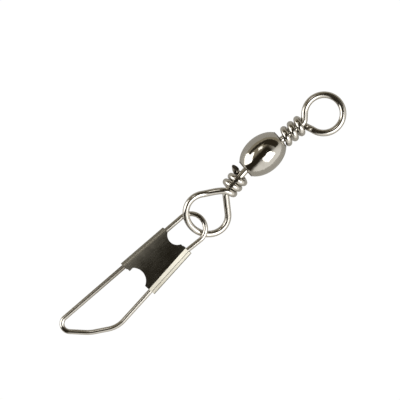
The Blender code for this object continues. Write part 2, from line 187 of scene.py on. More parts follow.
def colour(name, description, default):
    return bpy.props.FloatVectorProperty(
        name=name, description=description, default=default, subtype="COLOR", min=0, max=1,
    )


class BarrelSizes(bpy.types.PropertyGroup):
    long: length("Length", "Over both ends", 9.3)
    wide: length("Diameter", "At the middle", 7.5)
    end_wide: length("End diameter", "Over the turned in ends", 3.54)
    wall: length("Wall", "Thickness of the shell", 0.6)
    lip: length("Lip", "Thickness of the turned in ends, along the axis", 0.7)
    edge: length("Edge", "Rounding of the rim", 0.12)
    rim: length("Rim", "Width of the flat ring between the rim and the dish", 0.3)
    dish: length("Dish", "How deep the ends are hollowed round the stem", 0.3)
    stem_room: length("Stem room", "Between a stem and the hole's edge", 0.33)
    # Painted shade at the barrel's ends: where it starts, and where it is darkest
    dirt_start: length("Dirt start", "From the ends, where dirt starts", 0.28)
    dirt_full: length("Dirt", "From the ends, where it is thickest", 0.06)


class EyeSizes(bpy.types.PropertyGroup):
    wire: length("Wire", "Diameter of the eyes' wire", 1.35)
    head_long: length("Head", "Length of the upset head in the barrel", 1.2)
    head_wide: length("Head diameter", "Of the upset head in the barrel", 2.73)
    head_crown: length("Head crown", "Width of the head's chamfers", 0.15)
    head_shoulder: length("Head shoulder", "Along the stem, from the head to the stem's size", 0.05)
    wrap_gap: length("Wrap gap", "Between the wraps and their own stem", 0.04)
    stem_bend: length("Stem bend", "Radius where the stem turns off into the ring", 1.3)
    tail: length("Tail", "Straight end of the lower wraps", 1.6)
    tail_lean: share("Tail lean", "How much of it points at the barrel", 0.6)
    cut_back: length("Cut", "How far back from a wire's tip the middle of its slanted cut lies", 0.35)
    tip_edge: length("Tip edge", "Rounding of the wires' ends", 0.04)
    upper_gap: length("Upper gap", "Bare stem above the barrel", 0.16)
    upper_turns: count("Upper turns", "Wraps of the upper eye", 2.75)
    upper_pitch: length("Upper pitch", "Between wraps of the upper eye", 1.65)
    upper_neck: length("Upper neck", "From the last wrap to the stem's bend", 0.44)
    upper_out: length("Upper ring out", "From the stem's bend to the ring's centre", 4.12)
    upper_side: length("Upper ring side", "The ring's centre, off the stem's axis", -1.05)
    upper_long: length("Upper ring length", "Along the stem, at the wire's centre", 7.76)
    upper_wide: length("Upper ring width", "Across the stem, at the wire's centre", 7.6)
    upper_head: length("Upper head", "How far the head lies in, from the lip's middle", 1.35)
    lower_gap: length("Lower gap", "Bare stem below the barrel", 0.6)
    lower_turns: count("Lower turns", "Wraps of the lower eye", 2.75)
    lower_pitch: length("Lower pitch", "Between wraps of the lower eye", 1.5)
    lower_neck: length("Lower neck", "From the last wrap to the stem's bend", 0.7)
    lower_out: length("Lower ring out", "From the stem's bend to the ring's centre", 5.65)
    lower_side: length("Lower ring side", "The ring's centre, off the stem's axis", 0.1)
    lower_long: length("Lower ring length", "Along the stem, at the wire's centre", 7.96)
    lower_wide: length("Lower ring width", "Across the stem, at the wire's centre", 9.6)
    lower_head: length("Lower head", "How far the head lies in, from the lip's middle", 0.66)


class SnapSizes(bpy.types.PropertyGroup):
    wire: length("Wire", "Diameter of the snap's wire", 1.0)
    tip_edge: length("Tip edge", "Rounding of the wire's ends", 0.04)
    link_bend: length("Link bend", "Radius of the bend in the lower eye", 3.0)
    turned: turn("Turn", "Of the snap, against the barrel's axis", 2.0)
    neck_bend: length("Neck bend", "Of the long leg, where it enters the clasp", 6.0)
    knee_reach: length("Knee reach", "From the link bend", 26.9)
    knee_side: length("Knee side", "Off the snap's middle", 6.35)
    knee_bend: length("Knee bend", "Radius", 5.6)
    break_reach: length("Break reach", "Of the slight bend between knee and nose", 31.86)
    break_side: length("Break side", "Off the snap's middle", 3.8)
    break_bend: length("Break bend", "Radius", 8.0)
    nose_reach: length("Nose reach", "From the link bend", 38.04)
    nose_side: length("Nose side", "Off the snap's middle", -1.61)
    nose_bend: length("Nose bend", "Radius", 2.0)
    mount_reach: length("Mount reach", "Of the mount on the clasp's front, from the link bend", 11.8)
    mount_side: length("Mount side", "Off the snap's middle", 0.6)


class ClaspSizes(bpy.types.PropertyGroup):
    sheet: length("Sheet", "Thickness of the metal", 0.25)
    clearance: length("Clearance", "Between the sheet and the wire", 0.06)
    top: length("Top", "On the long leg, from the link bend", 6.1)
    long: length("Length", "Along the long leg", 10.9)
    skew: turn("Skew", "Lean of its ends", 9.5)
    plate_rise: length("Plate rise", "Of the flat front, above the sheet on the wire", 0.18)
    hem_top: length("Hem slack, top", "Room beside the long leg", 0.21)
    hem_bottom: length("Hem slack, bottom", "Room beside the long leg", 0.24)
    hem_tilt: turn("Hem tilt", "Of the hem's flattened front", 21.0)
    hem_lift: length("Hem lift", "Of the hem's front, above the wire's clearance", 0.03)
    hem_corner: length("Hem corner", "Radius of the hem's outer corner", 0.22)
    groove_place: length("Groove place", "Of the pressed groove in the hem, from the leg's centre", 0.34)
    groove: length("Groove", "Width of the pressed groove", 0.09)
    edge_top: length("Plate edge, top", "From the long leg's centre", 0.56)
    edge_bottom: length("Plate edge, bottom", "From the long leg's centre", 0.45)
    fold_slack: length("Fold slack", "Room beside the left leg", 0.1)
    fold_curve: length("Fold curve", "How far the left fold's curve starts before the leg", 0.25)
    flat: share("Flat part", "Of the front, from the crease, before it bows down to the left leg", 0.4)
    bow: length("Bow", "How far the front bows down to the left leg", 0.11)
    right_lip: length("Right lip", "Back lip, from the long leg's centre", 1.2)
    lip_top: length("Left lip, top", "Back lip, from the left leg's centre", 0.2)
    left_lip: length("Left lip, bottom", "Back lip, from the left leg's centre", 1.45)
    fixed_end: length("Fixed end", "How far the link side's end goes into the clasp", 4.6)
    latch_end: length("Latch end", "How far the latch's end goes into it from below", 4.0)
    top_wide: length("Top notch width", "At the clasp's end", 3.55)
    top_deep: length("Top notch depth", "From the clasp's end", 1.1)
    top_place: length("Top notch place", "From the long leg's centre", 3.55)
    bottom_wide: length("Bottom notch width", "At the clasp's end", 4.9)
    bottom_deep: length("Bottom notch depth", "From the clasp's end", 1.75)
    bottom_place: length("Bottom notch place", "From the long leg's centre", 3.93)
    cutter_base: length("Cutter base", "Above the middle of the legs", 0.12)
    cutter_high: length("Cutter height", "Of the punch that cuts a notch", 2.0)
    edge: length("Edge", "Rounding of the stamped edges", 0.06)


class Finishes(bpy.types.PropertyGroup):
    nickel: colour("Nickel", "Bright plate on the wires", (0.60, 0.575, 0.525))
    barrel: colour("Barrel", "Bright plate on the barrel", (0.54, 0.52, 0.475))
    sheet: colour("Sheet", "Plate on the clasp", (0.29, 0.277, 0.235))
    # Tarnish in the plate, and the tint of the painted shade at the barrel's ends
    grime: colour("Grime", "Tarnish in the plate", (0.20, 0.17, 0.12))
    wire_rough: share("Wire roughness", "Of the drawn wire", 0.13)
    barrel_rough: share("Barrel roughness", "Of the polished barrel", 0.08)
    sheet_rough: share("Sheet roughness", "Of the rolled sheet", 0.2)


class StudioSettings(bpy.types.PropertyGroup):
    view_wide: length("View width", "Width of the picture at the barrel's axis", 80.0)
    view_far: length("Camera distance", "Above the object", 600.0)
    roll: turn("Camera roll", "The barrel's axis in the picture, up from level", 40.6)
    middle_along: length("View middle, along", "Of the picture, from the barrel's middle", -15.5)
    middle_across: length("View middle, across", "Of the picture, from the barrel's middle", 1.23)
    table: colour("Table", "Pale table", (0.40, 0.37, 0.31))


SIZES = {
    "swivel_barrel": BarrelSizes,
    "swivel_eyes": EyeSizes,
    "swivel_snap": SnapSizes,
    "swivel_clasp": ClaspSizes,
    "swivel_finish": Finishes,
    "swivel_studio": StudioSettings,
}


def blend(start, end, part):
    return start + (end - start) * part


def arc(centre, radii, start, end):
    """Points of an arc of an ellipse in the plane, with both of its ends."""
    steps = max(2, ceil(abs(end - start) / ARC_STEP))
    angles = [blend(start, end, step / steps) for step in range(steps + 1)]
    return [Vector((centre[0] + radii[0] * cos(a), centre[1] + radii[1] * sin(a))) for a in angles]


def rounded_path(corners):
    """A plane path through corners of (x, y, bend radius), with each inner corner bent round."""
    spots = [Vector(corner[:2]) for corner in corners]
    path = [spots[0]]
    for before, corner, after, (_, _, radius) in zip(spots, spots[1:], spots[2:], corners[1:]):
        back, on = (before - corner).normalized(), (after - corner).normalized()
        half_turn = (pi - back.angle(on)) / 2
        room = BEND_ROOM * min((before - corner).length, (after - corner).length)
        reach = min(radius * tan(half_turn), room)
        bend = reach / tan(half_turn)
        centre = corner + (back + on).normalized() * hypot(bend, reach)
        first, last = corner + back * reach - centre, corner + on * reach - centre
        start = atan2(first.y, first.x)
        swept = (atan2(last.y, last.x) - start + pi) % (2 * pi) - pi
        path += arc(centre, (bend, bend), start, start + swept)
    return path + [spots[-1]]


def eye_at(end, hand, tail, barrel, eyes):
    """Sizes of the eye at one end. hand is the way its wraps turn, and tail how far they spring off."""

    def size(name):
        return getattr(eyes, f"{end}_{name}")

    wraps = barrel.lip / 2 + size("gap") + eyes.wire / 2
    return Eye(
        wraps, size("turns"), size("pitch"), size("neck"), size("out"), size("side"), size("long") / 2,
        size("wide") / 2, hand, size("head"), tail,
    )


def last_wrap(eye):
    """How far out the ring's wire starts to go round the stem."""
    return eye.wraps + eye.turns * eye.pitch


def ring_out(eye):
    return last_wrap(eye) + eye.neck + eye.ring_out


def tangent_angle(eye, start, side):
    """Angle on the ring of the point where a straight line from the stem touches it."""
    across = eye.ring_side * eye.half_length / eye.half_width
    out = ring_out(eye) - start
    return atan2(across, out) + side * (asin(eye.half_length / hypot(out, across)) + pi / 2)


def ring_point(eye, angle):
    return Vector((
        ring_out(eye) + eye.half_length * cos(angle),
        eye.ring_side + eye.half_width * sin(angle),
        0,
    ))


def wrap_point(eye, eyes, turns):
    """Where the wraps are after this many turns, from where they cross the stem."""
    radius = eyes.wire + eyes.wrap_gap
    angle = 2 * pi * turns
    return Vector((last_wrap(eye) - eye.pitch * turns, radius * sin(angle), eye.hand * radius * cos(angle)))


def wraps_with_tail(eye, eyes):
    """The wraps. A tail at their end has sprung off the stem and leans towards the barrel."""
    radius = eyes.wire + eyes.wrap_gap
    turns = eye.turns - eye.tail / (2 * pi * radius)
    steps = ceil(turns * WRAP_STEPS)
    places = [wrap_point(eye, eyes, turns * step / steps) for step in range(steps + 1)]
    if eye.tail:
        way = (places[-1] - places[-2]).normalized()
        lean = Vector((-eyes.tail_lean, 0, 0))
        parts = [step / TAIL_STEPS for step in range(1, TAIL_STEPS + 1)]
        places += [places[-1] + (way + lean * part / 2) * part * eye.tail for part in parts]
    return [Point(place, 1) for place in places]


def return_leg(eye, eyes, angle):
    """The wire from the ring to the wraps, on one smooth curve that passes over or under the stem."""
    start, end = ring_point(eye, angle), wrap_point(eye, eyes, 0)
    span = (end - start).length
    leaving = Vector((eye.half_length * sin(angle), -eye.half_width * cos(angle), 0)).normalized() * span
    arriving = Vector((-eye.pitch, 2 * pi * (eyes.wire + eyes.wrap_gap), 0)).normalized() * span
    points = []
    for step in range(1, RETURN_STEPS):
        t = step / RETURN_STEPS
        points.append(
            start * (2 * t**3 - 3 * t**2 + 1)
            + leaving * (t**3 - 2 * t**2 + t)
            + end * (3 * t**2 - 2 * t**3)
            + arriving * (t**3 - t**2)
        )
    return points


def eye_path(eye, eyes):
    """The wire of an eye, as points with a radius: its head, stem, ring and wraps."""
    back = eye.head + eyes.head_long
    size = eyes.head_wide / eyes.wire
    crown = eyes.head_crown
    points = [
        Point(Vector((-back, 0, 0)), size - 2 * crown / eyes.wire),
        Point(Vector((crown - back, 0, 0)), size),
        Point(Vector((-eye.head - crown, 0, 0)), size),
        Point(Vector((-eye.head, 0, 0)), size - crown / eyes.wire),
        Point(Vector((eyes.head_shoulder - eye.head, 0, 0)), 1),
    ]
    first = tangent_angle(eye, last_wrap(eye) + eye.neck, 1)
    last = tangent_angle(eye, last_wrap(eye), -1)
    ring = [ring_point(eye, blend(first, last, step / RING_STEPS)) for step in range(RING_STEPS + 1)]
    bend = (last_wrap(eye) + eye.neck, 0, eyes.stem_bend)
    stem = rounded_path([(0, 0, 0), bend, (ring[0].x, ring[0].y, 0)])
    points += [Point(spot.to_3d(), 1) for spot in stem]
    points += [Point(spot, 1) for spot in ring[1:]]
    points += [Point(spot, 1) for spot in return_leg(eye, eyes, last)]
    return points + wraps_with_tail(eye, eyes)


def left_line(snap, reach):
    """Sideways place of the snap's straight left side, at this distance from the link bend."""
    return blend(-snap.link_bend, snap.nose_side, reach / snap.nose_reach)


def long_leg(snap, clasp, reach):
    """Sideways place of the long leg, which is straight from the clasp's top to the knee."""
    return blend(snap.link_bend, snap.knee_side, (reach - clasp.top) / (snap.knee_reach - clasp.top))


def clasp_ends(snap, clasp, part):
    """Where the clasp crosses the long leg and the left line, at this share of its length."""
    reach = clasp.top + clasp.long * part
    right = Vector((reach, long_leg(snap, clasp, reach)))
    slope = (snap.nose_side + snap.link_bend) / snap.nose_reach
    lean = tan(clasp.skew)
    left_reach = (reach + lean * (right.y + snap.link_bend)) / (1 + lean * slope)
    return right, Vector((left_reach, left_line(snap, left_reach)))


def snap_path(snap, clasp):
    """The snap's centreline in its own plane: +X from the link bend to the nose, +Y to the long leg."""
    fixed = clasp_ends(snap, clasp, 0)[1].x + clasp.fixed_end
    latch = clasp_ends(snap, clasp, 1)[1].x - clasp.latch_end
    return rounded_path([
        (fixed, left_line(snap, fixed), 0),
        (0, -snap.link_bend, snap.link_bend),
        (0, snap.link_bend, snap.link_bend),
        (clasp.top, snap.link_bend, snap.neck_bend),
        (snap.knee_reach, snap.knee_side, snap.knee_bend),
        (snap.break_reach, snap.break_side, snap.break_bend),
        (snap.nose_reach, snap.nose_side, snap.nose_bend),
        (latch, left_line(snap, latch), 0),
    ])


def joint(name):
    return next(item for item in frame["joints"] if item["name"] == name)


def eye_frame(joint_name, node):
    """Place of an eye: +X out along its stem, which is its joint, and +Z out of the plane of its ring."""
    out = Vector(joint(joint_name)["axis"]).normalized()
    place = Vector(joint(joint_name)["pos_m"])
    spots = np.array([vertex.co for vertex in frame["nodes"][node].data.vertices])
    along = (spots - place) @ np.array(out)
    ring = spots[along > blend(along.min(), along.max(), ONLY_RING)]
    normal = Vector(np.linalg.svd(ring - ring.mean(0), full_matrices=False)[2][2])
    normal = (normal - out * normal.dot(out)).normalized()
    if normal.z < 0:
        normal.negate()
    return Matrix.Translation(place) @ Matrix((out, normal.cross(out), normal)).transposed().to_4x4()


def snap_frame(snap, clasp):
    """Place of the snap, from the mount on the clasp's flat front."""
    mount = frame["record"]["mounts"][0]
    up = Vector(mount["axis"]).normalized()
    across = Matrix.Rotation(-snap.turned, 3, "Z") @ Vector((0, -1, 0))
    on = across.cross(up).normalized()
    turned = Matrix((on, up.cross(on), up)).transposed().to_4x4()
    face = snap.wire / 2 + clasp.clearance + clasp.sheet + clasp.plate_rise
    on_snap = Matrix.Translation((-snap.mount_reach, -snap.mount_side, -face))
    return Matrix.Translation(Vector(mount["pos_m"])) @ turned @ on_snap


def station_frames(places):
    """A frame at each place of a path, with +Z along it, that turns no more than the path does."""
    ahead = [(on - back).normalized() for back, on in zip(places, places[1:])]
    ways = [ahead[0]] + [(one + other).normalized() for one, other in zip(ahead, ahead[1:])] + [ahead[-1]]
    turned = Vector((0, 0, 1)).rotation_difference(ways[0])
    frames = []
    for place, before, way in zip(places, [ways[0]] + ways, ways):
        turned = before.rotation_difference(way) @ turned
        frames.append(Matrix.Translation(place) @ turned.to_matrix().to_4x4())
    return frames


def extruded(shape, edges):
    """Extrudes edges, and gives the new edges that lie opposite them with their vertices."""
    made = bmesh.ops.extrude_edge_only(shape, edges=edges)["geom"]
    fresh = {item for item in made if isinstance(item, bmesh.types.BMVert)}
    far = [
        item for item in made
        if isinstance(item, bmesh.types.BMEdge) and item.verts[0] in fresh and item.verts[1] in fresh
    ]
    return far, list(fresh)


def bend_wire(points, radius):
    """A round wire extruded along points. One layer holds each vertex's place on the straight wire, so that
    marks from drawing follow the bends, and the other is for the cut ends."""
    shape = bmesh.new()
    straight = shape.verts.layers.float_vector.new("straight")
    shape.verts.layers.float.new("cut")
    frames = station_frames([point.place for point in points])
    frames = [place @ Matrix.Scale(point.radius, 4) for place, point in zip(frames, points)]
    rim = bmesh.ops.create_circle(shape, segments=WIRE_SIDES, radius=radius)["verts"]
    edges = list(shape.edges)
    for vert in rim:
        vert[straight] = vert.co
    bmesh.ops.transform(shape, matrix=frames[0], verts=rim)
    along = 0.0
    for before, after in zip(frames, frames[1:]):
        along += (after.translation - before.translation).length
        edges, rim = extruded(shape, edges)
        for vert in rim:
            vert[straight] = (*vert[straight][:2], along)
        bmesh.ops.transform(shape, matrix=after @ before.inverted(), verts=rim)
    return shape


def close_ends(shape, rounding):
    """Caps an open wire's ends, rounds their rims and marks them as cut through the plate."""
    cut = shape.verts.layers.float["cut"]
    rims = [edge for edge in shape.edges if edge.is_boundary]
    caps = bmesh.ops.holes_fill(shape, edges=rims, sides=0)["faces"]
    for vert in {vert for cap in caps for vert in cap.verts}:
        vert[cut] = 1
    around = list({edge for cap in caps for edge in cap.edges})
    bmesh.ops.bevel(
        shape, geom=around, offset=rounding, offset_type="OFFSET", segments=TIP_STEPS, profile=0.5,
        affect="EDGES", material=-1,
    )


def shear_end(shape, points, back, stretch, slant):
    """Cuts the wire's tip off on a slant, this far back. Only the wire's last stretch is cut, because the
    plane meets other wraps too."""
    straight = shape.verts.layers.float_vector["straight"]
    end = max(vert[straight].z for vert in shape.verts)
    near = {vert for vert in shape.verts if vert[straight].z > end - stretch}
    parts = [part for part in shape.edges[:] + shape.faces[:] if near.issuperset(part.verts)]
    tip = points[-1].place
    way = (tip - points[-2].place).normalized()
    bmesh.ops.bisect_plane(
        shape, geom=list(near) + parts, dist=ON_PLANE, plane_co=tip - way * back, plane_no=slant,
        clear_outer=True,
    )


def finished(name, shape, material, body, slot, *nodes):
    """Makes a shape a piece that rides on a body and stands for the solids of these nodes."""
    bmesh.ops.recalc_face_normals(shape, faces=shape.faces[:])
    mesh = bpy.data.meshes.new(name)
    shape.to_mesh(mesh)
    shape.free()
    mesh.shade_smooth()
    mesh.set_sharp_from_angle(angle=SHARP)
    mesh.materials.append(material)
    item = bpy.data.objects.new(name, mesh)
    bpy.context.scene.collection.objects.link(item)
    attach(item, body)
    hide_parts(*nodes)
    return item


class Socket:
    """A node's output, with sums written as Python sums."""

    def __init__(self, graph, link):
        self.graph = graph
        self.link = link

    def __add__(self, other):
        return self.graph.maths("ADD", self, other)

    def __sub__(self, other):
        return self.graph.maths("SUBTRACT", self, other)

    def __rsub__(self, other):
        return self.graph.maths("SUBTRACT", other, self)

    def __mul__(self, other):
        return self.graph.maths("MULTIPLY", self, other)


class Graph:
    """The nodes of a material or of the world."""

    def __init__(self, owner):
        owner.use_nodes = True
        self.tree = owner.node_tree

    def node(self, kind, settings, *values, output=0, **named):
        """Adds a node: its settings first, then the values or links of its sockets."""
        made = self.tree.nodes.new(kind)
        for key, value in settings.items():
            setattr(made, key, value)
        for slot, value in list(enumerate(values)) + list(named.items()):
            socket = made.inputs[slot.replace("_", " ") if isinstance(slot, str) else slot]
            if isinstance(value, Socket):
                self.tree.links.new(value.link, socket)
            elif value is not None:
                socket.default_value = value
        return Socket(self, made.outputs[output])

    def maths(self, operation, *values):
        return self.node("ShaderNodeMath", {"operation": operation}, *values)

    def vector(self, operation, *values):
        """A sum with vectors. Only a product of two gives a number."""
        output = 1 if operation == "DOT_PRODUCT" else 0
        return self.node("ShaderNodeVectorMath", {"operation": operation}, *values, output=output)

    def mix(self, mask, first, second):
        """first where the mask is 0, second where it is 1, as colours."""
        return self.node(
            "ShaderNodeMix", {"data_type": "RGBA"}, mask, None, None, None, None, None,
            coloured(first), coloured(second), output=2,
        )

    def ramp(self, value, low, high):
        """0 below low and 1 above high, eased between them."""
        return self.node("ShaderNodeMapRange", {"interpolation_type": "SMOOTHSTEP"}, value, low, high)

    def noise(self, place, scale, detail, roughness):
        return self.node("ShaderNodeTexNoise", {}, place, None, scale, detail, roughness)

    def light_paths(self):
        """Whether a ray comes from the camera, from a reflection or from behind glass."""
        return [self.node("ShaderNodeLightPath", {}, output=slot) for slot in (0, 3, 6)]

    def show(self, shader):
        self.tree.links.new(shader.link, self.tree.nodes["Material Output"].inputs["Surface"])


def coloured(value):
    """A colour with its alpha, or a link as it is."""
    return value if isinstance(value, Socket) else (*value[:3], 1)


def metal(name, tint, grime, roughness, place_of, marks, cut_and_shade_mask=None, rubbed=None):
    """Nickel plate: fine marks from drawing, rolling or turning, soft smears, sparse specks and tarnish.

    The first mask marks where the plate is cut through, at the wires' ends, and paints shade at the barrel's ends;
    the second marks where it is dull."""
    material = bpy.data.materials.new(name)
    graph = Graph(material)
    shader = graph.tree.nodes["Principled BSDF"]
    place = place_of(graph)
    lines = graph.noise(graph.vector("MULTIPLY", place, marks.scale), *LINES)
    smears = graph.noise(place, *SMEARS)
    clouds = graph.noise(place, *CLOUDS)
    specks = graph.ramp(graph.noise(place, *SPECKS), *SPECKED)
    tarnish = graph.ramp(smears, *SMEARED) * SMEAR_TARNISH + specks * SPECK_TARNISH
    base = graph.mix(tarnish, tint, grime)
    rough = (lines - 0.5) * LINE_DULL + (smears - 0.5) * SMEAR_DULL + specks * SPECK_DULL + roughness
    # Darker and duller where the plate is cut through, and painted shade at the barrel's ends
    if cut_and_shade_mask:
        cut_and_shaded = cut_and_shade_mask(graph, place)
        base = graph.mix(cut_and_shaded, base, [CUT_AND_SHADE_TINT * channel for channel in grime])
        rough += cut_and_shaded * CUT_AND_SHADE_DULL
    if rubbed:
        rough += rubbed(graph, place) * RUBBED_DULL
    links = graph.tree.links
    links.new(base.link, shader.inputs["Base Color"])
    links.new(rough.link, shader.inputs["Roughness"])
    shader.inputs["Metallic"].default_value = 1
    height = lines * marks.grooves + clouds * CLOUDS_RELIEF
    bump = graph.node("ShaderNodeBump", {}, 1.0, marks.pits, Height=height)
    links.new(bump.link, shader.inputs["Normal"])
    return material


def object_place(graph):
    return graph.node("ShaderNodeTexCoord", {}, output=3)


def straight_place(graph):
    """Place on the straight wire, from the wire's own layer."""
    return graph.node("ShaderNodeAttribute", {"attribute_name": "straight"}, output=1)


def cut_ends(graph, place):
    """The sheared ends of a wire, from the wire's own layer."""
    return graph.node("ShaderNodeAttribute", {"attribute_name": "cut"}, output=2)


def barrel_rim_shade(sizes):
    """Painted shade at the turned in ends of the barrel, which lies along X: the plate gets darker and duller
    towards them.
    """
    low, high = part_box("barrel")
    middle, half = (low.x + high.x) / 2, (high.x - low.x) / 2

    def mask(graph, place):
        along = graph.node("ShaderNodeSeparateXYZ", {}, place)
        off = graph.maths("ABSOLUTE", along - middle)
        return graph.ramp(off, half - sizes.dirt_start, half - sizes.dirt_full)

    return mask


def rubbed_side(snap, clasp, place):
    """The duller left part of the clasp's front, which hands and line have rubbed."""
    start, across, section = clasp_section(snap, clasp, 0.5)
    origin = place @ start.to_3d()
    to_left = place.to_3x3() @ across.to_3d()
    first, last = [section[-1].x * part for part in RUBBED]

    def mask(graph, at):
        off = graph.vector("DOT_PRODUCT", graph.vector("SUBTRACT", at, origin), to_left)
        return graph.ramp(off, first, last)

    return mask


def wire_metal(finish):
    """The nickel of the wires, made once for all of them."""
    made = bpy.data.materials.get("drawn_nickel_wire")
    return made or metal(
        "drawn_nickel_wire", finish.nickel, finish.grime, finish.wire_rough,
        straight_place, DRAWN, cut_ends,
    )


def barrel_shape(sizes, eyes):
    """The barrel, spun from its wall's outline: a bulged side, rounded rims and dished ends."""
    half, widest, end = sizes.long / 2, sizes.wide / 2, sizes.end_wide / 2
    half_ellipse = half / sqrt(1 - (end / widest) ** 2)
    edge = sizes.edge
    top = asin((half - edge) / half_ellipse)
    outside = arc((0, 0), (widest, half_ellipse), top, -top)
    rim = outside[0].x
    wall_top = rim - edge - sizes.rim
    hole = eyes.wire / 2 + sizes.stem_room
    lip = arc((rim - edge, half - edge), (edge, edge), 0, pi / 2)[1:]
    lip += arc((wall_top, half - edge / 2), (edge / 2, edge / 2), pi / 2, pi)
    lip += arc((hole + edge, half - sizes.dish - edge), (edge, edge), pi / 2, pi)
    inner = half - sizes.lip
    inside_top = asin(inner / (half_ellipse - sizes.wall))
    inside = arc((0, 0), (widest - sizes.wall, half_ellipse - sizes.wall), -inside_top, inside_top)
    lip.append(Vector((hole, inner)))
    outline = outside + [Vector((spot.x, -spot.y)) for spot in lip] + inside + lip[::-1]
    shape = bmesh.new()
    verts = [shape.verts.new((spot.x, 0, spot.y)) for spot in outline]
    edges = [shape.edges.new((one, other)) for one, other in zip(verts, verts[1:] + verts[:1])]
    bmesh.ops.spin(
        shape, geom=verts + edges, cent=(0, 0, 0), axis=(0, 0, 1), angle=2 * pi, steps=BARREL_STEPS,
        use_merge=True,
    )
    low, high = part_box("barrel")
    place = Matrix.Translation((low + high) / 2) @ Matrix.Rotation(pi / 2, 4, "Y")
    bmesh.ops.transform(shape, matrix=place, verts=shape.verts[:])
    bmesh.ops.remove_doubles(shape, verts=shape.verts[:], dist=MERGED)
    return shape


def clasp_section(snap, clasp, part):
    """The sheet's middle line at this share of the clasp's length: the long leg's centre, the way from there
    to the left leg, and the line's points as (across, up) from that centre."""
    right, left = clasp_ends(snap, clasp, part)
    width = (left - right).length
    rise = snap.wire / 2 + clasp.clearance + clasp.sheet / 2
    plate = rise + clasp.plate_rise
    hem = rise + blend(clasp.hem_top, clasp.hem_bottom, part)
    fold = rise + clasp.fold_slack
    edge = blend(clasp.edge_top, clasp.edge_bottom, part)
    curve = clasp.fold_curve
    flat = blend(edge, width, clasp.flat)
    section = [Vector((clasp.right_lip, -rise))]
    section += arc((0, 0), (hem, rise), 1.5 * pi, pi)
    tilt = clasp.hem_tilt

    def on_hem(x):
        return Vector((x, (rise + clasp.hem_lift + x * sin(tilt)) / cos(tilt)))

    corner = clasp.hem_corner
    bend = on_hem(corner - hem - corner * sin(tilt)) + corner * Vector((sin(tilt), -cos(tilt)))
    section += arc(bend, (corner, corner), pi, pi / 2 + tilt)
    groove = on_hem(-clasp.groove_place)
    section += [groove, groove + Vector((clasp.groove, 0)), Vector((edge, plate))]
    for step in range(BOW_STEPS):
        bowed = step / BOW_STEPS
        section.append(Vector((blend(flat, width - curve, bowed), plate - clasp.bow * bowed**2)))
    section += arc((width - curve, 0), (curve + fold, plate - clasp.bow), pi / 2, 0)
    section += arc((width, 0), (fold, rise), 0, -pi / 2)[1:]
    section += [Vector((width - blend(clasp.lip_top, clasp.left_lip, part), -rise))]
    return right, (left - right).normalized(), section


def spot_on(start, across, spot):
    """A section's point in the snap's own frame."""
    return (start + across * spot.x).to_3d() + Vector((0, 0, spot.y))


def clasp_sheet(snap, clasp, place):
    """The folded sheet's middle surface, extruded from its top section down the legs."""
    shape = bmesh.new()
    station = shape.verts.layers.int.new("station")
    start, across, section = clasp_section(snap, clasp, 0)
    verts = [shape.verts.new(spot_on(start, across, spot)) for spot in section]
    for index, vert in enumerate(verts):
        vert[station] = index
    edges = [shape.edges.new(pair) for pair in zip(verts, verts[1:])]
    for row in range(1, CLASP_ROWS + 1):
        start, across, section = clasp_section(snap, clasp, row / CLASP_ROWS)
        edges, fresh = extruded(shape, edges)
        for vert in fresh:
            vert.co = spot_on(start, across, section[vert[station]])
    bmesh.ops.transform(shape, matrix=place, verts=shape.verts[:])
    bmesh.ops.recalc_face_normals(shape, faces=shape.faces[:])
    return shape


def notch_punch(snap, clasp, place, part, across_at, width, depth):
    """A cylinder that cuts a round notch in the clasp's front and stays above its back."""
    start, across, _ = clasp_section(snap, clasp, part)
    outward = Vector((-across.y, across.x)) * (2 * part - 1)
    radius = ((width / 2) ** 2 + depth**2) / (2 * depth)
    centre = (start + across * across_at + outward * (radius - depth)).to_3d()
    middle = centre + Vector((0, 0, clasp.cutter_base + clasp.cutter_high / 2))
    shape = bmesh.new()
    bmesh.ops.create_cone(
        shape, cap_ends=True, segments=NOTCH_STEPS, radius1=radius, radius2=radius, depth=clasp.cutter_high,
        matrix=place @ Matrix.Translation(middle),
    )
    mesh = bpy.data.meshes.new("punch")
    shape.to_mesh(mesh)
    shape.free()
    punch = bpy.data.objects.new("punch", mesh)
    bpy.context.scene.collection.objects.link(punch)
    return punch


def applied(item):
    """Replaces a piece's mesh by what its modifiers make of it."""
    bpy.context.view_layer.update()
    graph = bpy.context.evaluated_depsgraph_get()
    mesh = bpy.data.meshes.new_from_object(item.evaluated_get(graph))
    item.modifiers.clear()
    item.data = mesh
    return mesh


class SWIVEL_OT_barrel(bpy.types.Operator):
    """Makes the barrel's polished shell"""

    bl_idname = "swivel.barrel"
    bl_label = "Barrel"

    def execute(self, context):
        sizes, finish = context.scene.swivel_barrel, context.scene.swivel_finish
        # The barrel's plate, with painted shade at its ends
        polish = metal(
            "polished_barrel_shell", finish.barrel, finish.grime, finish.barrel_rough, object_place, TURNED,
            barrel_rim_shade(sizes),
        )
        shape = barrel_shape(sizes, context.scene.swivel_eyes)
        finished("barrel_shell", shape, polish, "barrel", "polished_barrel", "barrel")
        return {"FINISHED"}


class SWIVEL_OT_eyes(bpy.types.Operator):
    """Makes both eyes: a wire with a head, a stem, a ring and wraps, cut off on a slant"""

    bl_idname = "swivel.eyes"
    bl_label = "Eyes"

    def execute(self, context):
        barrel, eyes = context.scene.swivel_barrel, context.scene.swivel_eyes
        nickel = wire_metal(context.scene.swivel_finish)
        for end, hand, tail, slant in (("upper", -1, 0, UPPER_SLANT), ("lower", 1, eyes.tail, LOWER_SLANT)):
            points = eye_path(eye_at(end, hand, tail, barrel, eyes), eyes)
            shape = bend_wire(points, eyes.wire / 2)
            shear_end(shape, points, eyes.cut_back, CUT_REACH * eyes.wire, slant)
            close_ends(shape, eyes.tip_edge)
            node = f"{end}_eye"
            bmesh.ops.transform(shape, matrix=eye_frame(f"{node}_spin", node), verts=shape.verts[:])
            finished(f"{node}_wire", shape, nickel, node, "bright_nickel_wire", node)
        return {"FINISHED"}


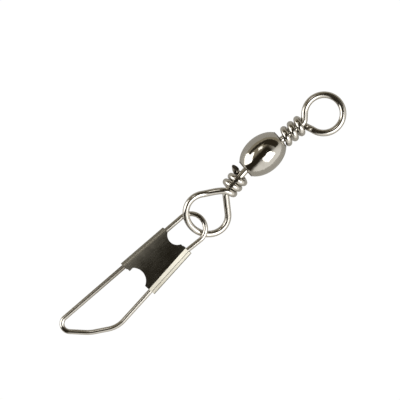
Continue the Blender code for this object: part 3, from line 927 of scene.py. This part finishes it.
class SWIVEL_OT_snap(bpy.types.Operator):
    """Makes the snap's wire"""

    bl_idname = "swivel.snap"
    bl_label = "Snap wire"

    def execute(self, context):
        snap, clasp = context.scene.swivel_snap, context.scene.swivel_clasp
        points = [Point(spot.to_3d(), 1) for spot in snap_path(snap, clasp)]
        shape = bend_wire(points, snap.wire / 2)
        close_ends(shape, snap.tip_edge)
        bmesh.ops.transform(shape, matrix=snap_frame(snap, clasp), verts=shape.verts[:])
        nickel = wire_metal(context.scene.swivel_finish)
        finished("snap_bent_wire", shape, nickel, "snap", "bright_nickel_wire", "snap_wire")
        return {"FINISHED"}


class SWIVEL_OT_clasp(bpy.types.Operator):
    """Makes the folded clasp and punches its two notches"""

    bl_idname = "swivel.clasp"
    bl_label = "Clasp"

    def execute(self, context):
        snap, clasp = context.scene.swivel_snap, context.scene.swivel_clasp
        finish = context.scene.swivel_finish
        place = snap_frame(snap, clasp)
        rolled = metal(
            "rolled_nickel_sheet", finish.sheet, finish.grime, finish.sheet_rough, object_place, ROLLED,
            rubbed=rubbed_side(snap, clasp, place),
        )
        item = finished(
            "folded_clasp", clasp_sheet(snap, clasp, place), rolled, "snap", "darkened_sheet", "snap_clasp",
        )
        sheet = item.modifiers.new("sheet", "SOLIDIFY")
        sheet.thickness = clasp.sheet
        sheet.offset = 0
        sheet.use_even_offset = True
        punches = [
            notch_punch(snap, clasp, place, 0, clasp.top_place, clasp.top_wide, clasp.top_deep),
            notch_punch(snap, clasp, place, 1, clasp.bottom_place, clasp.bottom_wide, clasp.bottom_deep),
        ]
        for punch in punches:
            cut = item.modifiers.new("notch", "BOOLEAN")
            cut.object = punch
            cut.operation = "DIFFERENCE"
        edge = item.modifiers.new("edge", "BEVEL")
        edge.width = clasp.edge
        edge.segments = EDGE_STEPS
        edge.limit_method = "ANGLE"
        edge.angle_limit = BEVELLED
        mesh = applied(item)
        for punch in punches:
            bpy.data.objects.remove(punch)
        mesh.shade_smooth()
        mesh.set_sharp_from_angle(angle=SHARP)
        return {"FINISHED"}


def matt(name, tint):
    """A dull card of this colour, which glows as if the room's light fell on it."""
    material = bpy.data.materials.new(name)
    graph = Graph(material)
    graph.show(graph.node("ShaderNodeEmission", {}, coloured(tint), 1.0))
    return material


def only_reflected(item):
    """Keeps a part of the studio out of the picture, and out of the light on the table."""
    item.visible_camera = False
    item.visible_diffuse = False
    item.visible_shadow = False


def facing(place, target):
    return Matrix.Translation(place) @ (target - place).to_track_quat("Z", "Y").to_matrix().to_4x4()


def card(screen, place, target, material):
    """A flat card in the studio that faces a point. Only reflections show it."""
    shape = bmesh.new()
    bmesh.ops.create_grid(shape, x_segments=1, y_segments=1, size=0.5)
    sized = Matrix.Diagonal((screen.wide, screen.high, 1, 1))
    bmesh.ops.transform(shape, matrix=facing(place, target) @ sized, verts=shape.verts[:])
    only_reflected(studio_piece(screen.name, shape, material))


def studio_piece(name, shape, material):
    """A part of the studio, which is stage and not object."""
    mesh = bpy.data.meshes.new(name)
    shape.to_mesh(mesh)
    shape.free()
    mesh.materials.append(material)
    item = bpy.data.objects.new(name, mesh)
    bpy.context.scene.collection.objects.link(item)
    return item


def dim_room(middle, window, boom, side):
    """The room round the table, as a globe that only reflections show: lighter towards the window, and dark
    along the camera's boom, which reaches in from one side. Each way leads out from the middle."""
    shape = bmesh.new()
    bmesh.ops.create_uvsphere(
        shape, u_segments=ROOM_STEPS, v_segments=ROOM_STEPS // 2, radius=ROOM_RADIUS,
        matrix=Matrix.Translation(middle),
    )
    material = bpy.data.materials.new("dim_room")
    graph = Graph(material)
    outward = graph.vector("NORMALIZE", graph.vector("SUBTRACT", object_place(graph), middle))
    near, along, across = [graph.vector("DOT_PRODUCT", outward, way) for way in (window, boom, side)]
    off_side = graph.maths("ABSOLUTE", across)
    shaded = (1 - graph.ramp(off_side, *BOOM_EDGE)) * graph.ramp(along, *BOOM_TIP)
    walls = graph.mix(graph.ramp(near, *WINDOW_SIDE), ROOM_WALL, WINDOW_WALL)
    tint = graph.mix(shaded, walls, BOOM_SHADE)
    graph.show(graph.node("ShaderNodeEmission", {}, tint, 1.0))
    only_reflected(studio_piece("dim_room", shape, material))


def softbox(screen, place, target, glow):
    """A softbox that looks this bright, where white is 1."""
    light = bpy.data.lights.new(screen.name, "AREA")
    light.shape = "RECTANGLE"
    light.size = screen.wide
    light.size_y = screen.high
    light.energy = glow * pi * screen.wide * screen.high
    item = bpy.data.objects.new(screen.name, light)
    item.matrix_world = facing(place, target) @ Matrix.Rotation(pi, 4, "Y")
    item.visible_camera = False
    bpy.context.scene.collection.objects.link(item)


def table_top(studio, middle):
    """A large pale table just under the object, which keeps its shadow. The camera sees it nearly white."""
    shape = bmesh.new()
    bmesh.ops.create_grid(shape, x_segments=1, y_segments=1, size=TABLE_REACH)
    bmesh.ops.translate(shape, vec=(middle.x, middle.y, -TABLE_DROP), verts=shape.verts[:])
    material = bpy.data.materials.new("white_table")
    graph = Graph(material)
    shader = graph.tree.nodes["Principled BSDF"]
    shader.inputs["Base Color"].default_value = coloured(studio.table)
    shader.inputs["Roughness"].default_value = TABLE_ROUGH
    white = graph.node("ShaderNodeEmission", {}, (1, 1, 1, 1), TABLE_WHITE)
    seen, glossy, through = graph.light_paths()
    share_of_white = seen * SEEN_WHITE + (glossy + through) * REFLECTED_WHITE
    pale = Socket(graph, shader.outputs[0])
    graph.show(graph.node("ShaderNodeMixShader", {}, share_of_white, pale, white))
    studio_piece("table", shape, material)


def surround():
    """A white world, as the camera and reflections see it, that lights the object less."""
    world = bpy.data.worlds.new("white_room")
    bpy.context.scene.world = world
    graph = Graph(world)
    camera, glossy, through = graph.light_paths()
    seen = graph.maths("MAXIMUM", graph.maths("MAXIMUM", camera, glossy), through)
    shader = graph.tree.nodes["Background"]
    shader.inputs["Color"].default_value = (1, 1, 1, 1)
    strength = seen * (1 - ROOM_LIGHT) + ROOM_LIGHT
    graph.tree.links.new(strength.link, shader.inputs["Strength"])


class SWIVEL_OT_studio(bpy.types.Operator):
    """Makes the pale table, the dim room, the softboxes, the dark cards and the camera"""

    bl_idname = "swivel.studio"
    bl_label = "Studio"

    def execute(self, context):
        studio = context.scene.swivel_studio
        low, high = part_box("barrel")
        middle = (low + high) / 2 + Vector((studio.middle_along, studio.middle_across, 0))
        right = Matrix.Rotation(-studio.roll, 3, "Z") @ Vector((1, 0, 0))
        up = Matrix.Rotation(-studio.roll, 3, "Z") @ Vector((0, 1, 0))
        turned = Matrix((right, up, Vector((0, 0, 1)))).transposed().to_4x4()

        def way(around, tilt):
            """A way from the middle: degrees round from the picture's right, and from straight above."""
            around, tilt = radians(around), radians(tilt)
            level = right * cos(around) + up * sin(around)
            return level * sin(tilt) + Vector((0, 0, cos(tilt)))

        def place_of(screen):
            return middle + way(screen.around, screen.tilt) * screen.far

        data = bpy.data.cameras.new("camera")
        data.sensor_width = SENSOR
        data.lens = SENSOR * studio.view_far / studio.view_wide
        data.clip_start = 0.01
        camera = bpy.data.objects.new("camera", data)
        camera.matrix_world = Matrix.Translation(middle + Vector((0, 0, studio.view_far))) @ turned
        context.scene.collection.objects.link(camera)
        context.scene.camera = camera

        table_top(studio, middle)
        surround()
        dim_room(middle, way(*WINDOW_WAY), way(*BOOM_WAY), way(*BOOM_SIDE_WAY))
        for screen, glow in SOFTBOXES:
            softbox(screen, place_of(screen), middle, glow)
        black = matt("black_card", BLACK_CARD)
        for screen in DARK_CARDS:
            card(screen, place_of(screen), middle, black)
        context.scene.view_settings.view_transform = "Standard"
        return {"FINISHED"}


OPERATORS = (SWIVEL_OT_barrel, SWIVEL_OT_eyes, SWIVEL_OT_snap, SWIVEL_OT_clasp, SWIVEL_OT_studio)


class SWIVEL_PT_pieces(bpy.types.Panel):
    """Lists the pieces and their sizes"""

    bl_idname = "SWIVEL_PT_pieces"
    bl_label = "Snap swivel"
    bl_space_type = "VIEW_3D"
    bl_region_type = "UI"
    bl_category = "Swivel"

    def draw(self, context):
        for group, kind in SIZES.items():
            box = self.layout.box()
            for size in kind.__annotations__:
                box.prop(getattr(context.scene, group), size)
        for operator in OPERATORS:
            self.layout.operator(operator.bl_idname)


def register():
    for group, kind in SIZES.items():
        bpy.utils.register_class(kind)
        setattr(bpy.types.Scene, group, bpy.props.PointerProperty(type=kind))
    for kind in (*OPERATORS, SWIVEL_PT_pieces):
        bpy.utils.register_class(kind)


def unregister():
    for kind in (SWIVEL_PT_pieces, *reversed(OPERATORS)):
        bpy.utils.unregister_class(kind)
    for group, kind in SIZES.items():
        delattr(bpy.types.Scene, group)
        bpy.utils.unregister_class(kind)


def main():
    register()
    bpy.ops.swivel.barrel()
    bpy.ops.swivel.eyes()
    bpy.ops.swivel.snap()
    bpy.ops.swivel.clasp()
    bpy.ops.swivel.studio()


if __name__ == "__main__":
    main()
